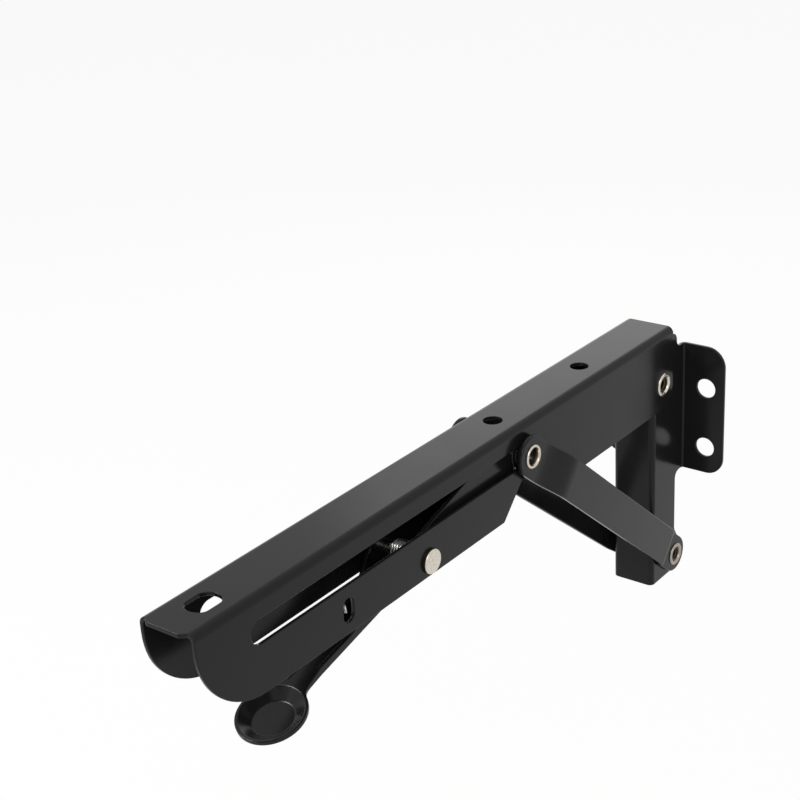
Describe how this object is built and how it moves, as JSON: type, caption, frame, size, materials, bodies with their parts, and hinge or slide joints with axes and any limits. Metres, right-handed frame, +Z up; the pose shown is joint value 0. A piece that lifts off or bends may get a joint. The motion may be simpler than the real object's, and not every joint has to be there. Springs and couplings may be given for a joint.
{
  "type": "folding shelf bracket",
  "caption": "Folding shelf bracket: a sheet steel channel arm hinged on a wall bracket with screw ears, held by paired struts that slide in slots, with a sprung release lever.",
  "frame": {"origin": "centre of the four wall holes, on the wall plane at the back of the ears", "axes": "+X away from the wall, +Z up, +Y to the right of someone who faces the wall"},
  "size_m": [0.3145, 0.0602, 0.1226],
  "materials": {
    "black_coat": "semi-gloss black powder coat",
    "nickel": "bright nickel plate",
    "black_acetal": "moulded black acetal",
    "spring_wire": "bright drawn wire"
  },
  "bodies": {
    "wall_mount": {"wall_bracket": "black_coat", "arm_pivot_rivet_left": "nickel", "arm_pivot_rivet_right": "nickel", "strut_foot_rivet_left": "nickel", "strut_foot_rivet_right": "nickel"},
    "arm": {"arm_channel": "black_coat", "lever_rivet": "nickel", "lever_sleeve": "nickel", "lever_spring": "spring_wire", "lever_washer_left": "nickel", "lever_washer_right": "nickel"},
    "struts": {"strut_left": "black_coat", "strut_right": "black_coat", "strut_head_rivet_left": "nickel", "strut_head_rivet_right": "nickel"},
    "slot_slider": {"slot_bush_left": "black_acetal", "slot_bush_right": "black_acetal", "slot_washer_left": "black_coat", "slot_washer_right": "black_coat"},
    "lever": {"release_lever": "black_coat"}
  },
  "joints": [
    {"name": "arm_fold", "type": "hinge", "parent": "wall_mount", "child": "arm", "pos_m": [0.023, 0, 0.02225], "axis": [0, 1, 0], "range_deg": [0, 90]},
    {"name": "strut_swing", "type": "hinge", "parent": "wall_mount", "child": "struts", "pos_m": [0.0109, 0, -0.0668], "axis": [0, 1, 0], "range_deg": [0, 121.2]},
    {"name": "slot_travel", "type": "slide", "parent": "arm", "child": "slot_slider", "axis": [1, 0, 0], "range_m": [0, 0.1355]},
    {"name": "lever_release", "type": "hinge", "parent": "arm", "child": "lever", "pos_m": [0.19447, 0, 0.0163], "axis": [0, -1, 0], "range_deg": [0, 13.5], "stiffness_Nm_per_rad": 0.25, "springref_deg": -34.38, "deforming": ["lever_spring"]}
  ],
  "couplings": [
    {"joint": "strut_swing", "follows": "arm_fold", "ratio": 1.3459},
    {"joint": "slot_travel", "follows": "arm_fold", "m_per_rad": 0.08623}
  ]
}
